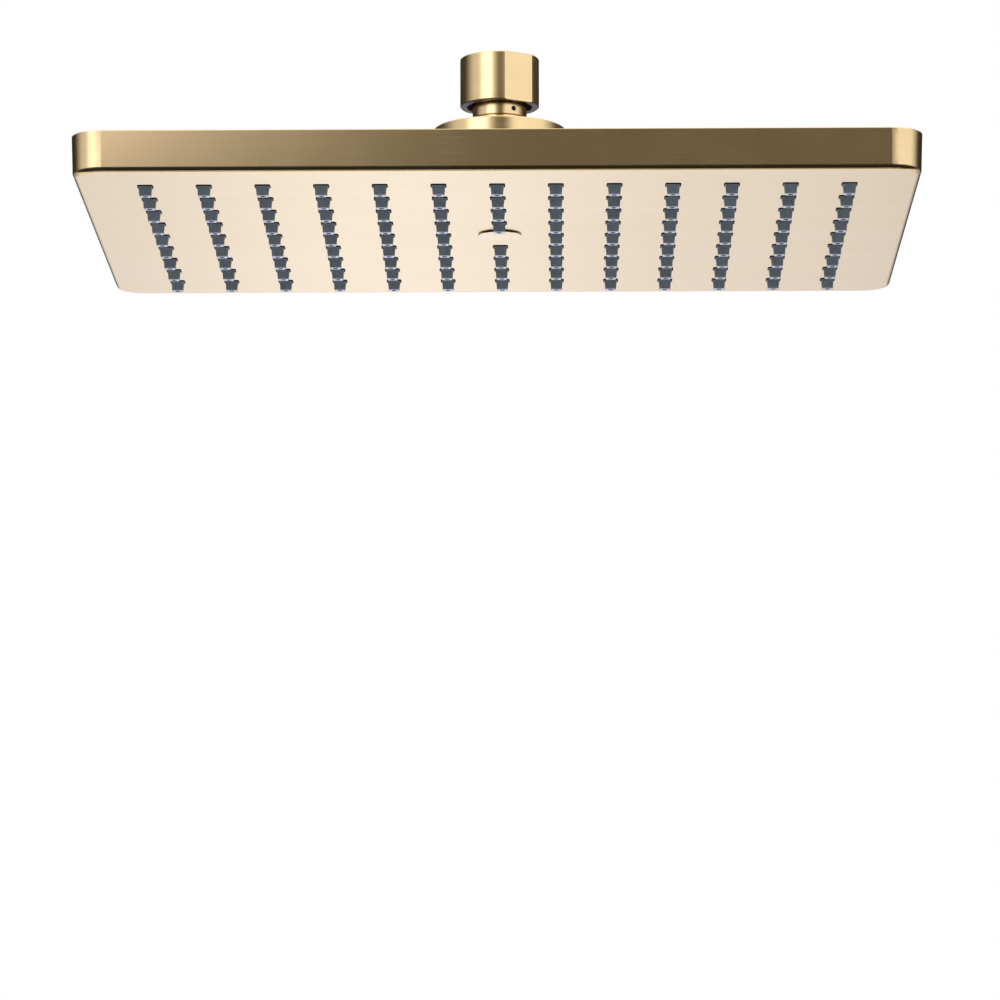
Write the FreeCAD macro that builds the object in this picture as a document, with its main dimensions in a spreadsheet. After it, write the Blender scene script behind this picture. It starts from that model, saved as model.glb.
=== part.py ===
import FreeCAD, Part
import math
import os
import Sketcher

# Rectangular rain shower head, 300 x 216 mm, hung from a swivelling ball joint.
# Row frame: origin at the mouth of the inlet thread, +Z up along the inlet,
# +X along the head's long side. Sizes in millimetres.
# Every body is drawn in heights above the face plane of the spray face,
# and its Placement drops it by the head's total height.

doc = FreeCAD.newDocument("rain_head")
sheet = doc.addObject("Spreadsheet::Sheet", "dims")

CELLS = [
    # overall head
    ("drop", 67.0, "mouth of the inlet thread to the spray face"),
    ("face_len", 301.8, "spray face, long side"),
    ("face_wid", 216.0, "spray face, short side"),
    ("face_thk", 15.0, "height of the head's edge"),
    ("shell_wall", 1.2, "sheet thickness of the face shell"),
    ("corner_rad", 11.0, "plan corner radius"),
    ("edge_rad", 1.8, "rounded edge round the spray face"),
    ("draft_deg", 2.0, "outward lean of the edge, from the face to the back, in degrees"),
    ("rim_rad", 0.4, "broken edge at the top rim"),
    # nozzle field
    ("pitch", 21.0, "nozzle spacing, both ways"),
    ("cols", 13, "nozzles along the long side"),
    ("rows", 9, "nozzles along the short side"),
    ("port_side", 5.6, "square port in the face"),
    ("port_corner", 0.85, "corner radius of the port"),
    ("skirt_side", 5.5, "nozzle skirt that fills the port"),
    ("skirt_proud", 0.25, "skirt below the face"),
    ("noz_root", 4.9, "nozzle side at its root"),
    ("noz_tip", 4.2, "nozzle side at its tip"),
    ("noz_len", 3.9, "nozzle length below the face"),
    ("noz_root_corner", 0.75, "corner radius at the root"),
    ("noz_tip_corner", 0.62, "corner radius at the tip"),
    ("outlet_rad", 0.55, "outlet bore of a nozzle"),
    ("well_rad", 1.5, "water well inside a nozzle"),
    ("well_end", 1.4, "end of the well above the nozzle tip"),
    # nozzle mat, spray plate and chamber cover, stacked on the shell's floor
    ("mat_bot", 1.2, "underside of the nozzle mat"),
    ("mat_top", 2.7, "top of the nozzle mat"),
    ("plate_top", 4.7, "top of the spray plate's floor"),
    ("rail_top", 6.7, "top of the spray plate's rail"),
    ("roof_bot", 7.7, "underside of the chamber roof"),
    ("roof_top", 9.7, "top of the chamber roof"),
    ("chamber_len", 290.0, "chamber, long side"),
    ("chamber_wid", 206.0, "chamber, short side"),
    ("chamber_corner", 6.0, "chamber corner radius"),
    ("rail_wid", 12.0, "width of the sealing rail"),
    ("plate_port", 1.6, "port above each nozzle"),
    ("boss_rad", 9.5, "spray plate's centre boss"),
    ("boss_top", 6.6, "top of the centre boss"),
    ("boss_recess", 7.9, "recess for the shell's cup"),
    ("recess_top", 4.5, "roof of that recess"),
    ("pilot_rad", 2.1, "hole for the centre screw"),
    ("pilot_top", 6.05, "end of that hole"),
    # centre cup, screw and cap
    ("cup_out", 7.7, "outside of the shell's centre cup"),
    ("cup_in", 6.5, "inside of the shell's centre cup"),
    ("cup_floor", 3.2, "face of the cup's floor"),
    ("cup_back", 4.4, "back of the cup's floor"),
    ("cup_hole", 2.8, "hole in the cup's floor"),
    ("screw_head_rad", 4.4, "centre screw head"),
    ("screw_head_bot", 0.35, "face of the screw head"),
    ("screw_head_top", 2.7, "seat of the screw head"),
    ("screw_rad", 2.0, "centre screw shank"),
    ("screw_end", 5.95, "end of the centre screw"),
    ("drive_rad", 1.7, "socket in the screw head"),
    ("drive_end", 1.9, "depth of that socket"),
    ("seal_out", 4.9, "centre screw seal"),
    ("cap_rad", 8.1, "centre cap"),
    ("cap_proud", 0.6, "cap below the face"),
    ("cap_edge", 0.15, "broken edge of the cap"),
    ("cap_ring_out", 6.4, "snap ring of the cap"),
    ("cap_ring_in", 5.5, "bore of the snap ring"),
    ("cap_ring_top", 2.0, "top of the snap ring"),
    # chamber seal and screws
    ("seal_line_len", 272.0, "seal centre line, long side"),
    ("seal_line_wid", 188.0, "seal centre line, short side"),
    ("seal_wid", 2.6, "seal width"),
    ("groove_wid", 3.0, "seal groove width"),
    ("groove_bot", 5.9, "floor of the seal groove"),
    ("seal_bot", 5.95, "underside of the seal"),
    ("seal_top", 6.68, "top of the seal"),
    ("bolt_len", 282.0, "screw rows, long side"),
    ("bolt_wid", 198.0, "screw rows, short side"),
    ("bolt_rad", 1.5, "chamber screw shank"),
    ("bolt_hole", 1.6, "clearance hole of a chamber screw"),
    ("bolt_end", 3.4, "end of a chamber screw"),
    ("bolt_hole_end", 3.2, "end of its hole"),
    ("bolt_head_rad", 2.75, "chamber screw head"),
    ("bolt_head_top", 11.6, "top of a chamber screw head"),
    ("bolt_socket", 1.25, "socket in the head, across its corners, half"),
    ("bolt_socket_bot", 10.4, "floor of the socket"),
    # back cover
    ("cover_gap", 0.12, "gap between back cover and shell"),
    ("cover_thk", 1.0, "back cover thickness"),
    ("cover_skirt", 9.9, "lower edge of the back cover's flange"),
    ("cover_edge", 0.5, "rounded edge of the back cover"),
    ("cover_hole", 10.2, "centre hole of the back cover"),
    # turned bell
    ("neck_rad", 10.1, "neck"),
    ("neck_top", 43.9, "top of the neck"),
    ("neck_edge", 0.25, "broken edge of the neck"),
    ("neck_low", 43.6, "upper end of the hollow that runs from the neck into the bell"),
    ("bell_in_rad", 12.0, "start of the bell's upper face"),
    ("bell_in_top", 41.75, "its height"),
    ("bell_lip_rad", 24.3, "end of the bell's upper face"),
    ("bell_lip_top", 39.75, "its height"),
    ("bell_rad", 24.8, "rim of the bell"),
    ("bell_rim", 39.3, "height of the rim"),
    ("bell_foot_rad", 25.6, "wall of the bell at its foot"),
    ("bell_foot", 18.2, "height of the foot"),
    ("flange_fil", 26.8, "foot's run-out onto the flange"),
    ("flange_top", 17.0, "top of the flange"),
    ("flange_rad", 30.0, "flange"),
    ("flange_edge", 0.4, "broken edge of the flange"),
    ("bell_wall", 2.2, "wall of the bell"),
    ("bell_roof", 37.0, "inner roof of the bell"),
    ("tube_rad", 11.6, "inner tube"),
    ("tube_low", 31.0, "lower end of the thick part of the tube"),
    ("stud_top", 29.4, "top of the threaded part"),
    ("stud_rad", 10.0, "threaded part of the tube"),
    ("stud_bot", 10.4, "lower end of the threaded part"),
    ("spigot_rad", 8.5, "water spigot"),
    ("spigot_bot", 8.0, "lower end of the spigot"),
    ("spigot_edge", 0.5, "lead-in of the spigot"),
    ("water_rad", 6.0, "water way of the bell"),
    ("pocket_floor", 33.0, "floor of the ball pocket"),
    ("pocket_rad", 8.9, "lower part of the ball pocket"),
    ("pocket_step", 40.0, "step in the ball pocket"),
    ("pocket_mouth", 9.3, "upper part of the ball pocket"),
    ("gasket_in", 26.0, "inner radius of the bell gasket"),
    ("gasket_out", 29.3, "outer radius of the bell gasket"),
    ("gasket_top", 15.8, "top of the bell gasket"),
    # nut, washer and spigot seal
    ("washer_bot", 13.4, "underside of the lock washer"),
    ("washer_rad", 16.6, "lock washer"),
    ("nut_bot", 10.4, "underside of the lock nut"),
    ("nut_corner", 15.58, "lock nut, half across corners"),
    ("nut_hole", 10.05, "lock nut hole"),
    ("hub_rad", 12.5, "hub of the chamber roof"),
    ("hub_top", 10.2, "top of the hub"),
    ("hub_hole", 8.6, "hole for the spigot"),
    ("hub_shelf", 8.35, "shelf under the spigot seal"),
    ("hub_bore", 10.2, "bore for the spigot seal"),
    ("oring_rad", 9.35, "spigot seal, ring radius"),
    ("oring_cord", 0.78, "spigot seal, cord radius"),
    ("oring_mid", 9.15, "spigot seal, height"),
    # ball joint
    ("ball_mid", 41.5, "centre of the ball"),
    ("ball_rad", 7.5, "ball"),
    ("stem_rad", 4.8, "stem above the ball"),
    ("stem_bore", 3.4, "water way of the stem"),
    ("stem_shoulder", 6.6, "shoulder of the stem"),
    ("shoulder_bot", 51.2, "underside of the shoulder"),
    ("shoulder_top", 52.0, "top of the shoulder"),
    ("stem_thread", 5.95, "thread of the stem"),
    ("stem_top", 56.05, "top of the stem"),
    ("seat_cut", 53.5, "floor of the restrictor's pocket"),
    ("seat_cut_rad", 4.5, "restrictor's pocket"),
    ("liner_in", 7.55, "inner radius of the ball liner"),
    ("liner_out", 8.05, "outer radius of the ball liner"),
    ("liner_top", 4.3, "top of the liner above the ball centre"),
    ("liner_bot", 1.1, "foot of the liner above the ball centre"),
    ("cup_sphere", 8.1, "spherical seat in the collar"),
    ("cup_open", 45.8, "upper end of the spherical seat"),
    ("lower_sphere", 7.58, "spherical face of the lower seat"),
    ("lower_rad", 8.75, "lower seat"),
    ("lower_top", 39.5, "top of the lower seat"),
    ("lower_bore", 3.8, "water way of the lower seat"),
    ("lower_bot", 33.1, "underside of the lower seat"),
    ("ring_slot", 7.5, "floor of the seat's seal slot"),
    ("ring_slot_bot", 36.1, "lower side of the slot"),
    ("ring_slot_top", 37.5, "upper side of the slot"),
    ("ring_rad", 8.15, "seat seal, ring radius"),
    ("ring_cord", 0.62, "seat seal, cord radius"),
    ("ring_mid", 36.8, "seat seal, height"),
    # retaining collar
    ("collar_rad", 10.1, "collar"),
    ("collar_bot", 44.0, "underside of the collar's ring"),
    ("collar_top", 48.8, "top of the collar"),
    ("collar_edge", 0.25, "broken edges of the collar"),
    ("collar_plug", 9.22, "part of the collar inside the neck"),
    ("collar_mouth", 7.15, "mouth of the collar"),
    ("lock_rad", 1.0, "hole of the locking screw"),
    ("lock_screw", 0.95, "locking screw"),
    ("lock_mid", 46.3, "height of the locking screw"),
    ("lock_depth", 1.9, "depth of its hole"),
    ("lock_sink", 0.25, "screw below the collar's surface"),
    ("lock_turn", 32.0, "locking screw and flats, turned from the front"),
    # inlet body
    ("inlet_rad", 14.75, "inlet body"),
    ("inlet_flat", 13.5, "wrench flat from the axis"),
    ("inlet_bot", 48.55, "underside of the inlet body"),
    ("inlet_edge_up", 0.35, "lower chamfer, height"),
    ("inlet_edge_in", 0.3, "lower chamfer, depth"),
    ("inlet_top_edge", 0.4, "upper chamfer"),
    ("skirt_in", 12.2, "recess under the inlet body, mouth"),
    ("skirt_up", 11.6, "recess under the inlet body, roof"),
    ("wall_bot", 52.0, "underside of the inlet's partition"),
    ("wall_top", 56.1, "top of the inlet's partition"),
    ("thread_end", 58.5, "lower end of the inlet thread"),
    ("wash_pocket", 9.15, "pocket of the inlet washer"),
    ("stem_hole", 6.0, "hole for the stem's thread"),
    ("stem_seal_rad", 7.0, "counterbore for the stem seal"),
    ("stem_seal_top", 52.8, "roof of that counterbore"),
    ("thread_rad", 9.32, "bore of the G1/2 thread, at its crests"),
    # inlet washer, strainer and flow restrictor
    ("wash_in", 6.6, "inlet washer, inside"),
    ("wash_out", 9.1, "inlet washer, outside"),
    ("wash_top", 58.1, "top of the inlet washer"),
    ("screen_rad", 6.55, "strainer"),
    ("screen_bot", 56.9, "underside of the strainer"),
    ("screen_thk", 0.4, "strainer thickness"),
    ("screen_hole", 0.5, "hole of the strainer"),
    ("screen_step", 1.5, "pitch of the strainer's rings of holes"),
    ("disc_rad", 4.4, "flow restrictor"),
    ("disc_top", 56.0, "top of the flow restrictor"),
    ("disc_funnel", 2.6, "funnel of the restrictor"),
    ("disc_orifice", 1.3, "orifice of the restrictor"),
    ("disc_throat", 54.6, "top of the orifice"),
]
VAL = {}
for row, (word, value, note) in enumerate(CELLS, start=1):
    sheet.set("A%d" % row, note)
    sheet.set("B%d" % row, repr(value))
    sheet.setAlias("B%d" % row, word)
    VAL[word] = float(value)
doc.recompute()


def terms(text):
    """Splits 'a+b-c' into signed words and numbers."""
    out, sign, word = [], 1, ""
    for ch in text.replace(" ", "") + "+":
        if ch in "+-":
            if word:
                out.append((sign, word))
            sign, word = (1 if ch == "+" else -1), ""
        else:
            word += ch
    return out


def number(text):
    """The present value of a sum of cells and numbers; word/2 halves a cell."""
    total = 0.0
    for sign, word in terms(text):
        part = word.split("/")
        base = VAL[part[0]] if part[0] in VAL else float(part[0])
        total += sign * (base / float(part[1]) if len(part) > 1 else base)
    return total


def formula(text):
    """The same sum as an expression on the sheet."""
    out = ""
    for sign, word in terms(text):
        name = word.split("/")[0]
        out += (" + " if sign > 0 else " - ") + ("dims." + word if name in VAL else word)
    return out[3:] if out.startswith(" + ") else "0" + out


def minus(text):
    """The negative of a sum of cells."""
    return "".join(("-" if sign > 0 else "+") + word for sign, word in terms(text))


def plane(body, role):
    return [o for o in body.Origin.OriginFeatures if o.Role == role][0]


def new_body(name):
    body = doc.addObject("PartDesign::Body", name)
    body.Label = name
    body.setExpression("Placement.Base.z", "-dims.drop")
    return body


def new_sketch(body, name, role="XY_Plane", height=None):
    sk = body.newObject("Sketcher::SketchObject", name)
    sk.AttachmentSupport = [(plane(body, role), "")]
    sk.MapMode = "FlatFace"
    if height is not None:
        sk.AttachmentOffset = FreeCAD.Placement(FreeCAD.Vector(0, 0, number(height)), FreeCAD.Rotation())
        sk.setExpression("AttachmentOffset.Base.z", formula(height))
    return sk


def pin(sk, kind, args, text):
    """Adds a dimension to the sketch and binds it to the sheet."""
    n = sk.addConstraint(Sketcher.Constraint(kind, *args, number(text)))
    sk.setExpression("Constraints[%d]" % n, formula(text))


def pin_point(sk, geo, pos, x, y):
    for kind, text in (("DistanceX", x), ("DistanceY", y)):
        if text is None:
            continue
        if text == "0":
            sk.addConstraint(Sketcher.Constraint("PointOnObject", geo, pos, -2 if kind == "DistanceX" else -1))
        else:
            pin(sk, kind, (-1, 1, geo, pos), text)


def profile(sk, points, arcs=None):
    """Closed outline. points: (x, y) sums of cells; None where an arc's circle decides, with a guess as a third item.
    arcs: {edge: (centre height, radius, anticlockwise)}, each centred on the axis."""
    arcs = arcs or {}
    at = []
    for p in points:
        x = number(p[0]) if p[0] is not None else p[2]
        y = number(p[1]) if p[1] is not None else p[2]
        at.append(FreeCAD.Vector(x, y, 0))
    count = len(points)
    ends = {}
    for i in range(count):
        a, b = at[i], at[(i + 1) % count]
        if i in arcs:
            cy, rad, ccw = arcs[i]
            centre = FreeCAD.Vector(0, number(cy), 0)
            aa = math.atan2(a.y - centre.y, a.x - centre.x)
            ab = math.atan2(b.y - centre.y, b.x - centre.x)
            circle = Part.Circle(centre, FreeCAD.Vector(0, 0, 1), number(rad))
            arc = Part.ArcOfCircle(circle, aa, ab) if ccw else Part.ArcOfCircle(circle, ab, aa)
            g = sk.addGeometry(arc, False)
            sk.addConstraint(Sketcher.Constraint("PointOnObject", g, 3, -2))
            pin(sk, "DistanceY", (-1, 1, g, 3), cy)
            pin(sk, "Radius", (g,), rad)
            ends[i] = (g, 1, 2) if ccw else (g, 2, 1)
        else:
            ends[i] = (sk.addGeometry(Part.LineSegment(a, b), False), 1, 2)
    for i in range(count):
        g, s, e = ends[i]
        n, ns, ne = ends[(i + 1) % count]
        sk.addConstraint(Sketcher.Constraint("Coincident", g, e, n, ns))
    for i, p in enumerate(points):
        pin_point(sk, ends[i][0], ends[i][1], p[0], p[1])


def rounded_rect(sk, width, depth, radius):
    """Rounded rectangle centred on the sketch's origin; width and depth are half sizes."""
    w, d, r = number(width), number(depth), number(radius)
    V = FreeCAD.Vector
    L = [
        sk.addGeometry(Part.LineSegment(V(-w + r, -d, 0), V(w - r, -d, 0)), False),
        sk.addGeometry(Part.LineSegment(V(w, -d + r, 0), V(w, d - r, 0)), False),
        sk.addGeometry(Part.LineSegment(V(w - r, d, 0), V(-w + r, d, 0)), False),
        sk.addGeometry(Part.LineSegment(V(-w, d - r, 0), V(-w, -d + r, 0)), False),
    ]
    q = math.pi / 2
    A = [
        sk.addGeometry(Part.ArcOfCircle(Part.Circle(V(x, y, 0), V(0, 0, 1), r), k * q - q, k * q), False)
        for k, (x, y) in enumerate([(w - r, -d + r), (w - r, d - r), (-w + r, d - r), (-w + r, -d + r)])
    ]
    for k in range(4):
        sk.addConstraint(Sketcher.Constraint("Tangent", L[k], 2, A[k], 1))
        sk.addConstraint(Sketcher.Constraint("Tangent", A[k], 2, L[(k + 1) % 4], 1))
    for k in (1, 2, 3):
        sk.addConstraint(Sketcher.Constraint("Equal", A[0], A[k]))
    sk.addConstraint(Sketcher.Constraint("Horizontal", L[0]))
    sk.addConstraint(Sketcher.Constraint("Vertical", L[1]))
    sk.addConstraint(Sketcher.Constraint("Horizontal", L[2]))
    sk.addConstraint(Sketcher.Constraint("Vertical", L[3]))
    pin(sk, "Radius", (A[0],), radius)
    pin(sk, "DistanceY", (-1, 1, L[0], 1), minus(depth))
    pin(sk, "DistanceX", (-1, 1, L[1], 1), width)
    pin(sk, "DistanceY", (-1, 1, L[2], 1), depth)
    pin(sk, "DistanceX", (-1, 1, L[3], 1), minus(width))


def square_at(sk, cx, cy, side, radius):
    """Rounded square of half size side, centred at (cx, cy), for a port or nozzle."""
    x, y, w, r = number(cx), number(cy), number(side), number(radius)
    V = FreeCAD.Vector
    L = [
        sk.addGeometry(Part.LineSegment(V(x - w + r, y - w, 0), V(x + w - r, y - w, 0)), False),
        sk.addGeometry(Part.LineSegment(V(x + w, y - w + r, 0), V(x + w, y + w - r, 0)), False),
        sk.addGeometry(Part.LineSegment(V(x + w - r, y + w, 0), V(x - w + r, y + w, 0)), False),
        sk.addGeometry(Part.LineSegment(V(x - w, y + w - r, 0), V(x - w, y - w + r, 0)), False),
    ]
    q = math.pi / 2
    A = [
        sk.addGeometry(Part.ArcOfCircle(Part.Circle(V(x + a * (w - r), y + b * (w - r), 0), V(0, 0, 1), r), k * q - q, k * q), False)
        for k, (a, b) in enumerate([(1, -1), (1, 1), (-1, 1), (-1, -1)])
    ]
    for k in range(4):
        sk.addConstraint(Sketcher.Constraint("Tangent", L[k], 2, A[k], 1))
        sk.addConstraint(Sketcher.Constraint("Tangent", A[k], 2, L[(k + 1) % 4], 1))
    for k in (1, 2, 3):
        sk.addConstraint(Sketcher.Constraint("Equal", A[0], A[k]))
    for k, word in enumerate(("Horizontal", "Vertical", "Horizontal", "Vertical")):
        sk.addConstraint(Sketcher.Constraint(word, L[k]))
    pin(sk, "Radius", (A[0],), radius)
    pin(sk, "DistanceY", (-1, 1, L[0], 1), cy + "-" + side)
    pin(sk, "DistanceX", (-1, 1, L[1], 1), cx + "+" + side)
    pin(sk, "DistanceY", (-1, 1, L[2], 1), cy + "+" + side)
    pin(sk, "DistanceX", (-1, 1, L[3], 1), cx + "-" + side)


def circles(sk, items):
    """Circles (x, y, radius), each a sum of cells."""
    for x, y, rad in items:
        c = FreeCAD.Vector(number(x), number(y), 0)
        g = sk.addGeometry(Part.Circle(c, FreeCAD.Vector(0, 0, 1), number(rad)), False)
        pin_point(sk, g, 3, x, y)
        pin(sk, "Radius", (g,), rad)


def revolve(body, name, sk, kind="PartDesign::Revolution"):
    f = body.newObject(kind, name)
    f.Profile = sk
    f.ReferenceAxis = (sk, ["V_Axis"])
    f.Angle = 360.0
    sk.Visibility = False
    return f


def pad(body, name, sk, length, down=False):
    f = body.newObject("PartDesign::Pad", name)
    f.Profile = sk
    f.Length = number(length)
    f.setExpression("Length", formula(length))
    f.Reversed = down
    return f


def pocket(body, name, sk, length, up=False):
    """Cuts downwards from the sketch unless up is set; the volume must fall."""
    doc.recompute()
    before = body.Shape.Volume
    f = body.newObject("PartDesign::Pocket", name)
    f.Profile = sk
    f.Length = number(length)
    f.setExpression("Length", formula(length))
    f.Reversed = up
    doc.recompute()
    if not f.Shape.Volume < before - 1e-6:
        raise RuntimeError("pocket %s cut nothing" % name)
    return f


def grid(body, name, originals, sk):
    """Repeats a feature over the whole nozzle grid."""
    f = body.newObject("PartDesign::LinearPattern", name)
    f.Originals = originals
    f.Direction = (sk, ["H_Axis"])
    f.Direction2 = (sk, ["V_Axis"])
    f.Mode = f.Mode2 = "Extent"
    f.Length = VAL["pitch"] * (VAL["cols"] - 1)
    f.Length2 = VAL["pitch"] * (VAL["rows"] - 1)
    f.Occurrences, f.Occurrences2 = int(VAL["cols"]), int(VAL["rows"])
    f.setExpression("Length", "dims.pitch * (dims.cols - 1)")
    f.setExpression("Length2", "dims.pitch * (dims.rows - 1)")
    f.setExpression("Occurrences", "dims.cols")
    f.setExpression("Occurrences2", "dims.rows")
    body.Tip = f
    doc.recompute()
    return f


def turned(name, points, arcs=None):
    """A body of revolution from one closed outline of (radius, height)."""
    body = new_body(name)
    sk = new_sketch(body, name + "_outline", "XZ_Plane")
    profile(sk, points, arcs)
    revolve(body, name + "_turned", sk)
    return body


def edges_at(shape, height, tol=1e-4):
    """Names of the outer edges lying at one height."""
    out = []
    for i, e in enumerate(shape.Edges, start=1):
        if all(abs(v.Point.z - height) < tol for v in e.Vertexes) and e.Vertexes:
            mid = e.valueAt((e.FirstParameter + e.LastParameter) / 2)
            if abs(mid.z - height) < tol:
                out.append("Edge%d" % i)
    return out


# first nozzle of the grid: half the columns and rows back from the centre
sheet.set("C1", "=-B%d*(B%d-1)/2" % ([c[0] for c in CELLS].index("pitch") + 1, [c[0] for c in CELLS].index("cols") + 1))
sheet.setAlias("C1", "first_x")
sheet.set("C2", "=-B%d*(B%d-1)/2" % ([c[0] for c in CELLS].index("pitch") + 1, [c[0] for c in CELLS].index("rows") + 1))
sheet.setAlias("C2", "first_y")
VAL["first_x"] = -VAL["pitch"] * (VAL["cols"] - 1) / 2
VAL["first_y"] = -VAL["pitch"] * (VAL["rows"] - 1) / 2
doc.recompute()

# ------------------------------------------------------------------ inlet
# Union body: internal thread above, stem hole below, recess that the collar tilts into.
inlet = turned("inlet_body", [
    ("skirt_in", "inlet_bot"),
    ("inlet_rad-inlet_edge_in", "inlet_bot"),
    ("inlet_rad", "inlet_bot+inlet_edge_up"),
    ("inlet_rad", "drop-inlet_top_edge"),
    ("inlet_rad-inlet_top_edge", "drop"),
    ("thread_rad", "drop"),
    ("thread_rad", "thread_end"),
    ("wash_pocket", "thread_end"),
    ("wash_pocket", "wall_top"),
    ("stem_hole", "wall_top"),
    ("stem_hole", "stem_seal_top"),
    ("stem_seal_rad", "stem_seal_top"),
    ("stem_seal_rad", "wall_bot"),
    ("skirt_up", "wall_bot"),
])
# two opposite wrench flats
sk = new_sketch(inlet, "inlet_flats_plan", "XY_Plane", "inlet_bot-1")
for side in (1, -1):
    a, b = VAL["inlet_flat"] * side, (VAL["inlet_rad"] + 3) * side
    half = VAL["inlet_rad"]
    V = FreeCAD.Vector
    corner = [V(-half, a, 0), V(half, a, 0), V(half, b, 0), V(-half, b, 0)]
    g = [sk.addGeometry(Part.LineSegment(corner[k], corner[(k + 1) % 4]), False) for k in range(4)]
    for k in range(4):
        sk.addConstraint(Sketcher.Constraint("Coincident", g[k], 2, g[(k + 1) % 4], 1))
    for k, word in enumerate(("Horizontal", "Vertical", "Horizontal", "Vertical")):
        sk.addConstraint(Sketcher.Constraint(word, g[k]))
    sign = "" if side > 0 else "-"
    pin(sk, "DistanceY", (-1, 1, g[0], 1), sign + "inlet_flat")
    pin(sk, "DistanceY", (-1, 1, g[2], 1), sign + "inlet_rad" + ("+3" if side > 0 else "-3"))
    pin(sk, "DistanceX", (-1, 1, g[1], 1), "inlet_rad")
    pin(sk, "DistanceX", (-1, 1, g[3], 1), "-inlet_rad")
sk.setExpression("AttachmentOffset.Rotation.Angle", "dims.lock_turn")
sk.AttachmentOffset = FreeCAD.Placement(FreeCAD.Vector(0, 0, number("inlet_bot-1")), FreeCAD.Rotation(FreeCAD.Vector(0, 0, 1), VAL["lock_turn"]))
pocket(inlet, "inlet_flats", sk, "drop-inlet_bot+2", up=True)

# Hollow ball stem screwed into the inlet body; water runs through it.
turned("ball_stem", [
    ("stem_bore", None, VAL["ball_mid"] - 6.685),
    ("stem_rad", None, VAL["ball_mid"] + 5.763),
    ("stem_rad", "shoulder_bot"),
    ("stem_shoulder", "shoulder_bot"),
    ("stem_shoulder", "shoulder_top"),
    ("stem_thread", "shoulder_top"),
    ("stem_thread", "stem_top"),
    ("seat_cut_rad", "stem_top"),
    ("seat_cut_rad", "seat_cut"),
    ("stem_bore", "seat_cut"),
], {0: ("ball_mid", "ball_rad", True)})

turned("stem_seal", [
    ("stem_hole+0.05", "wall_bot+0.03"),
    ("stem_seal_rad-0.1", "wall_bot+0.03"),
    ("stem_seal_rad-0.1", "stem_seal_top-0.03"),
    ("stem_hole+0.05", "stem_seal_top-0.03"),
])

# Rubber washer at the bottom of the thread, with a groove round its face.
turned("inlet_washer", [
    ("wash_in", "wall_top"),
    ("wash_out", "wall_top"),
    ("wash_out", "wash_top-0.2"),
    ("wash_out-0.2", "wash_top"),
    ("wash_in+0.2", "wash_top"),
    ("wash_in", "wash_top-0.2"),
])

# Strainer: thin disc with rings of holes.
strainer = new_body("strainer_screen")
sk = new_sketch(strainer, "strainer_disc_plan", "XY_Plane", "screen_bot")
circles(sk, [("0", "0", "screen_rad")])
pad(strainer, "strainer_disc", sk, "screen_thk")
sk = new_sketch(strainer, "strainer_centre_plan", "XY_Plane", "screen_bot+screen_thk")
circles(sk, [("0", "0", "screen_hole")])
pocket(strainer, "strainer_centre", sk, "screen_thk")
for ring in (1, 2, 3):
    sk = new_sketch(strainer, "strainer_hole_plan_%d" % ring, "XY_Plane", "screen_bot+screen_thk")
    circles(sk, [("+".join(["screen_step"] * ring), "0", "screen_hole")])
    cut = pocket(strainer, "strainer_hole_%d" % ring, sk, "screen_thk")
    pattern = strainer.newObject("PartDesign::PolarPattern", "strainer_ring_%d" % ring)
    pattern.Originals = [cut]
    pattern.Axis = (sk, ["N_Axis"])
    pattern.Angle = 360.0
    pattern.Occurrences = 6 * ring
    strainer.Tip = pattern
    doc.recompute()

# Flow restrictor: disc with a funnel and an orifice.
turned("flow_restrictor", [
    ("disc_orifice", "seat_cut"),
    ("disc_rad", "seat_cut"),
    ("disc_rad", "disc_top-0.3"),
    ("disc_rad-0.3", "disc_top"),
    ("disc_funnel", "disc_top"),
    ("disc_orifice", "disc_throat"),
])

# ------------------------------------------------------------------ ball joint
turned("ball_liner", [
    (None, "ball_mid+liner_bot", 7.47),
    (None, "ball_mid+liner_bot", 7.97),
    (None, "ball_mid+liner_top", 6.80),
    (None, "ball_mid+liner_top", 6.21),
], {1: ("ball_mid", "liner_out", True), 3: ("ball_mid", "liner_in", False)})

turned("lower_seat", [
    ("lower_bore", "lower_bot"),
    ("lower_rad-0.3", "lower_bot"),
    ("lower_rad", "lower_bot+0.3"),
    ("lower_rad", "ring_slot_bot"),
    ("ring_slot", "ring_slot_bot"),
    ("ring_slot", "ring_slot_top"),
    ("lower_rad", "ring_slot_top"),
    ("lower_rad", "lower_top"),
    (None, "lower_top", 7.31),
    ("lower_bore", None, VAL["ball_mid"] - 6.56),
], {8: ("ball_mid", "lower_sphere", False)})

turned("retaining_collar", [
    (None, "ball_mid", 8.1),
    ("collar_plug", "ball_mid"),
    ("collar_plug", "collar_bot"),
    ("collar_rad-collar_edge", "collar_bot"),
    ("collar_rad", "collar_bot+collar_edge"),
    ("collar_rad", "collar_top-collar_edge"),
    ("collar_rad-collar_edge", "collar_top"),
    ("collar_mouth", "collar_top"),
    (None, "cup_open", 6.865),
], {8: ("ball_mid", "cup_sphere", False)})
collar = doc.getObject("retaining_collar")
# blind radial hole for the locking screw, drawn on a plane turned to its azimuth
sk = new_sketch(collar, "lock_hole_plan", "XZ_Plane")
sk.AttachmentSupport = [(plane(collar, "XZ_Plane"), "")]
turn = math.radians(VAL["lock_turn"])
out = VAL["collar_rad"] + 1.0
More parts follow.
